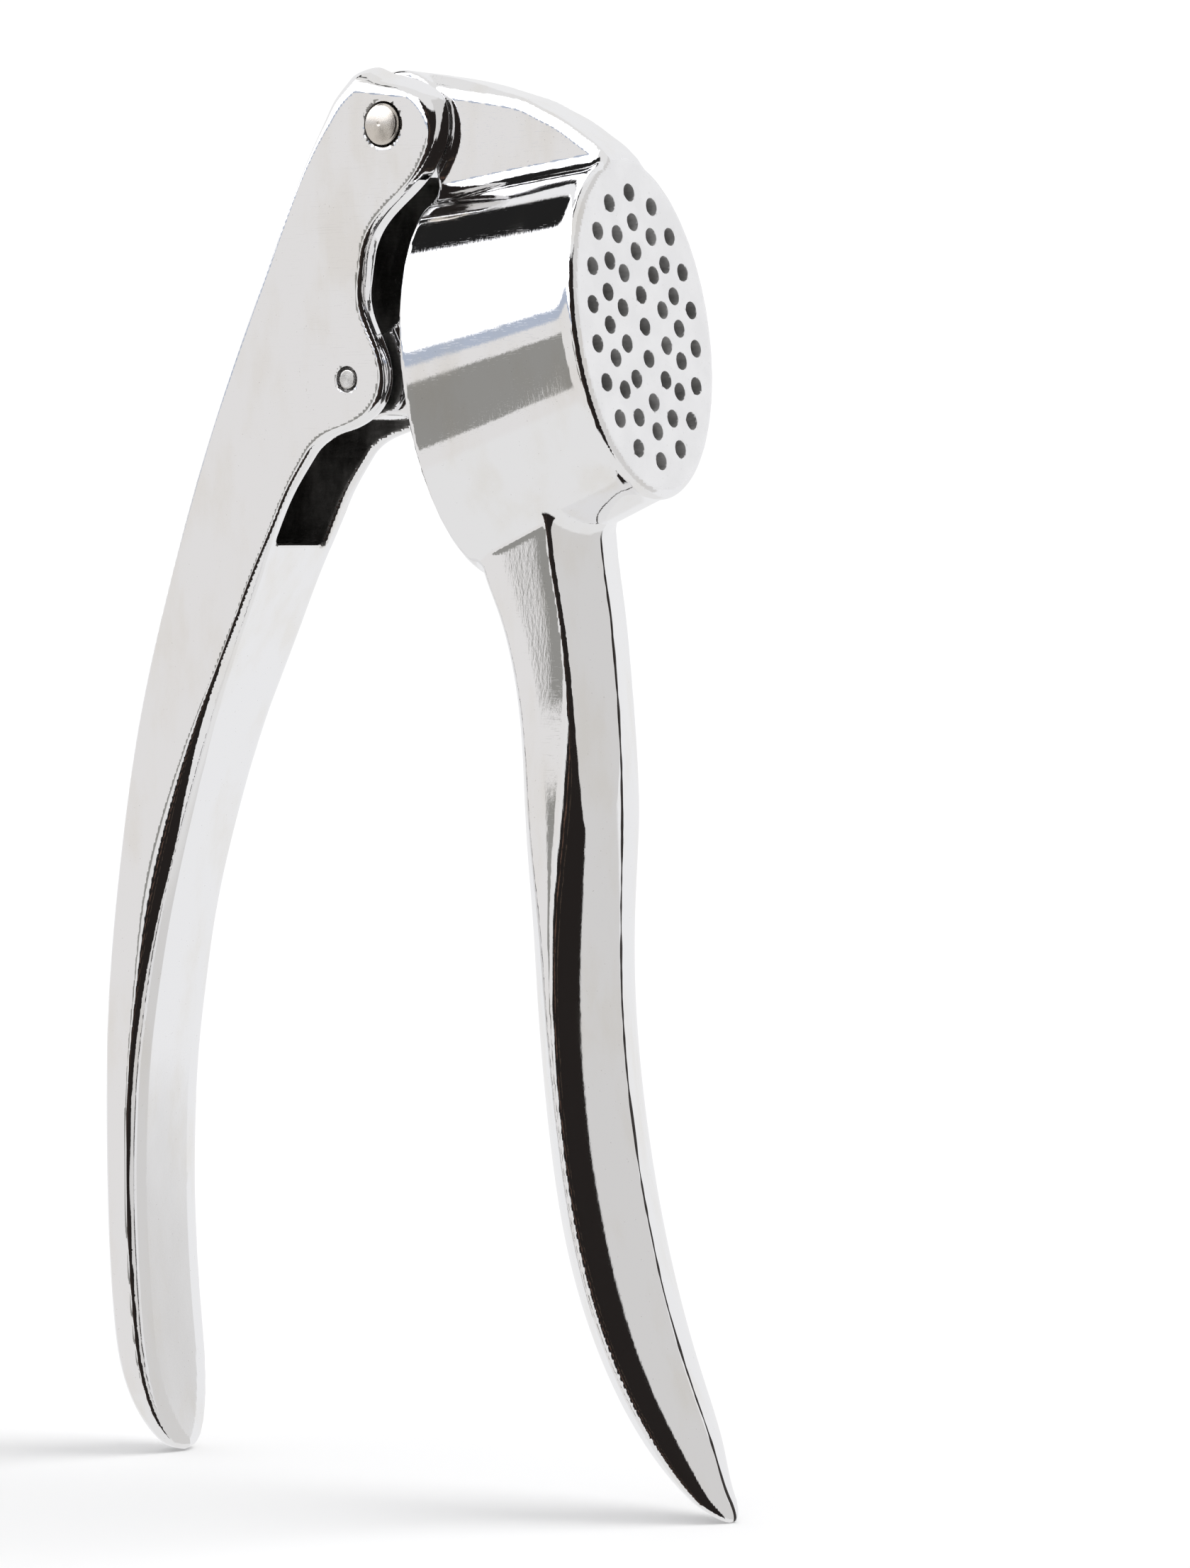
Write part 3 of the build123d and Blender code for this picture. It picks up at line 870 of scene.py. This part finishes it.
# How far past a surface (short of it, below zero) a quad's middle may lie and still take its material.
FACE_GAP = 0.12
PLATE_GAP = 0.05
PLATE_BACK_GAP = 1.0
BORE_GAP = 0.35
SLOT_SIDE_GAP = 0.1
SLOT_FLOOR_GAP = 0.2
SLOT_BACK_GAP = 0.5
RIVET_HOLE_GAP = 0.15
SINK_GAP = -0.03
# Rough casting, coloured with painted shade, in the slot ends at this height. A quad is level with the sieve
# face from this cosine up.
SLOT_TOP = 9.0
LEVEL_ENOUGH = 0.97


def grid(node, step_x, step_y, *z_spans):
    """Grid lines 1 mm past a CAD node in x and y, and over some (start, end, step) spans in z."""
    low, high = node_box(node)
    return [
        steps((low[0] - 1, high[0] + 1, step_x)),
        steps((low[1] - 1, high[1] + 1, step_y)),
        steps(*z_spans),
    ]


def choose_basket(points, normals):
    """Each quad's material: 0 chrome, 1 ground face, 2 rough casting with painted shade, 3 hole wall with
    painted light.
    """
    s, d = in_barrel(points[:, 0], points[:, 2])
    y = np.abs(points[:, 1])
    among_holes = np.hypot(d / HOLES_HALF[0], y / HOLES_HALF[1]) < 1
    level = normals[:, 0] * SIEVE_AXIS[0] + normals[:, 2] * SIEVE_AXIS[2] > LEVEL_ENOUGH
    face = (s > -FACE_GAP) & (level | among_holes)
    holes = (s > -PLATE_T - PLATE_GAP) & among_holes
    inside = (bore(s, d, y) < BORE_GAP) | (among_holes & (s > -PLATE_T - PLATE_BACK_GAP))
    return np.where(face, 1, np.where(holes, 3, np.where(inside, 2, 0)))


def choose_lever(points, normals):
    """Each quad's material: 1 rough casting with painted shade in the slot and the holes, 0 chrome elsewhere.
    """
    x, y, z = points.T
    in_slot = (np.abs(y) < SLOT_HALF + SLOT_SIDE_GAP) & (beside(x, SLOT_BACK, z, -1) < SLOT_BACK_GAP)
    in_slot = in_slot & (z > SLOT_FLOOR - SLOT_FLOOR_GAP) & (z < SLOT_TOP)
    in_pin_hole = np.hypot(x - PIN_X, z - PIN_Z) < SINK_R + SINK_GAP
    in_rivet_hole = np.hypot(x, z) < RIVET_HOLE_R + RIVET_HOLE_GAP
    return np.where(in_slot | in_pin_hole | in_rivet_hole, 1, 0)


basket_spans = [
    (BELOW_FLOOR, BASKET_TIP, TIP_STEP),
    (BASKET_TIP, BASKET_NECK, GRIP_STEP),
    (BASKET_NECK, BASKET_TOP, HEAD_STEP),
]
basket_grid = grid("basket_lever", HEAD_STEP, HEAD_STEP, *basket_spans)
basket_materials = [chrome, satin, cast_painted_shade, hole_wall_painted_light]
basket_piece = mesh_from_field("basket_casting", basket, basket_grid, basket_materials, choose_basket)
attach(basket_piece, "basket")
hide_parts("basket_lever")

lever_spans = [
    (BELOW_FLOOR, LEVER_TIP, TIP_STEP),
    (LEVER_TIP, LEVER_NECK, STRAP_STEP),
    (LEVER_NECK, LEVER_TOP, HEAD_STEP),
]
lever_grid = grid("plunger_lever", HEAD_STEP, HEAD_STEP, *lever_spans)
lever_piece = mesh_from_field("lever_casting", lever, lever_grid, [chrome_flat, cast_painted_shade], choose_lever)
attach(lever_piece, "lever")
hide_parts("plunger_lever")

plunger_grid = grid("plunger", PLUNGER_STEP, PLUNGER_STEP, (-60, -8, PLUNGER_STEP))
plunger_piece = mesh_from_field("plunger_casting", plunger, plunger_grid, [chrome_flat])
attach(plunger_piece, "piston")
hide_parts("plunger")

rivet_grid = grid("pivot_rivet", RIVET_STEP, RIVET_STEP, (-4, 4, RIVET_STEP))
rivet_piece = mesh_from_field("rivet", dome, rivet_grid, [nickel])
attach(rivet_piece, "rivet")
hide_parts("pivot_rivet")

pin_grid = grid("plunger_pin", PIN_STEP, RIVET_STEP, (PIN_Z - 2, PIN_Z + 2, PIN_STEP))
pin_piece = mesh_from_field("cross_pin", pin, pin_grid, [pin_steel])
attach(pin_piece, "lever")
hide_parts("plunger_pin")


# ---------------------------------------------------------------- camera, floor and light

CAMERA_AT = (0.4215, -0.5512, 0.1270)
CAMERA_AROUND, CAMERA_DOWN = math.radians(35.5), math.radians(2.7)
CAMERA_LENS, CAMERA_SENSOR = 118.8, 36
FLOOR_R, FLOOR_SIDES = 6, 96
KEY_ENERGY, KEY_SPREAD = 1.15, math.radians(38)
KEY_TURN = (math.radians(-24), math.radians(30), 0)

# The studio as the chrome sees it, in degrees: (middle, half-width, soft edge) round the horizon,
# (bottom, top, soft edge) above it, and a colour. Later panels stand in front of earlier ones.
PANELS = [
    (112, 64, 6, -35, 90, 10, (0.86, 0.86, 0.865)),
    (12, 38, 4, -30, 60, 10, (0.66, 0.65, 0.64)),
    (215, 42, 3, -28, 9, 3, (0.78, 0.765, 0.755)),
    (221, 45, 3, 10.8, 47, 1.5, (1.9, 1.9, 1.95)),
    (221, 45, 3, 6.6, 10.8, 1.5, (0.45, 0.50, 0.60)),
    (240.5, 6.5, 1.5, -20.9, 1.2, 1.0, (0.29, 0.285, 0.27)),
    (196, 18, 3, 42, 57, 1.5, (0.015, 0.015, 0.015)),
    (303.5, 37.5, 3, -45, 40, 4, (0.018, 0.015, 0.014)),
    (277, 1.3, 1.2, -40, 34, 4, (0.10, 0.06, 0.045)),
    (289, 0.8, 1.0, -40, 34, 4, (0.06, 0.045, 0.035)),
]
BETWEEN_PANELS = (0.80, 0.795, 0.79, 1)
BACKDROP = (1.06, 1.06, 1.06, 1)
SOFT_LIGHT = (0.80, 0.80, 0.805, 1)


def add_camera():
    """The photo's camera, fitted to the sieve's holes, the rivets and the handle tips."""
    data = bpy.data.cameras.new("camera")
    data.sensor_fit = "VERTICAL"
    data.sensor_height = CAMERA_SENSOR
    data.lens = CAMERA_LENS
    camera = bpy.data.objects.new("camera", data)
    camera.location = CAMERA_AT
    camera.rotation_euler = (math.pi / 2 - CAMERA_DOWN, 0, CAMERA_AROUND)
    bpy.context.scene.collection.objects.link(camera)
    bpy.context.scene.camera = camera


def add_floor():
    """A wide plain floor, hidden from reflections so that the panels below the horizon show in the chrome."""
    bpy.ops.mesh.primitive_circle_add(vertices=FLOOR_SIDES, radius=FLOOR_R, fill_type="NGON")
    floor = bpy.context.object
    floor.name = "floor"
    floor.data.materials.append(matt_floor("floor"))
    floor.visible_glossy = False


def panel_mask(tree, around, height, middle, half, edge, bottom, top, rim):
    """1 on a panel, 0 off it, soft at its edges."""
    away = calc(tree, "WRAP", calc(tree, "SUBTRACT", around, float(middle)), 180.0, -180.0)
    beside_it = fade(tree, calc(tree, "ABSOLUTE", away), half + edge / 2, half - edge / 2)
    over_bottom = fade(tree, height, bottom - rim / 2, bottom + rim / 2)
    under_top = fade(tree, height, top + rim / 2, top - rim / 2)
    return calc(tree, "MULTIPLY", beside_it, calc(tree, "MULTIPLY", over_bottom, under_top))


def add_studio():
    """World light: the panels for reflections, an even light for the rest, and a white backdrop."""
    world = bpy.data.worlds.new("studio")
    bpy.context.scene.world = world
    world.use_nodes = True
    tree = world.node_tree
    direction = tree.nodes.new("ShaderNodeTexCoord").outputs["Generated"]
    parts = node(tree, "SeparateXYZ", direction).node.outputs
    around = calc(tree, "DEGREES", calc(tree, "ARCTAN2", parts["Y"], parts["X"]))
    height = calc(tree, "DEGREES", calc(tree, "ARCSINE", parts["Z"]))
    shade = BETWEEN_PANELS
    for *place, colour in PANELS:
        shade = blend(tree, panel_mask(tree, around, height, *place), shade, (*colour, 1))
    path = tree.nodes.new("ShaderNodeLightPath")
    seen = blend(tree, path.outputs["Is Camera Ray"], SOFT_LIGHT, BACKDROP)
    final = blend(tree, path.outputs["Is Glossy Ray"], seen, shade)
    tree.links.new(final, tree.nodes["Background"].inputs["Color"])


def add_key():
    """A very soft sun that casts the shadows on the floor. Reflections don't see it."""
    data = bpy.data.lights.new("key", "SUN")
    data.energy = KEY_ENERGY
    data.angle = KEY_SPREAD
    key = bpy.data.objects.new("key", data)
    key.rotation_euler = KEY_TURN
    key.visible_glossy = False
    bpy.context.scene.collection.objects.link(key)


add_camera()
add_floor()
add_studio()
add_key()
bpy.context.scene.view_settings.view_transform = "Standard"
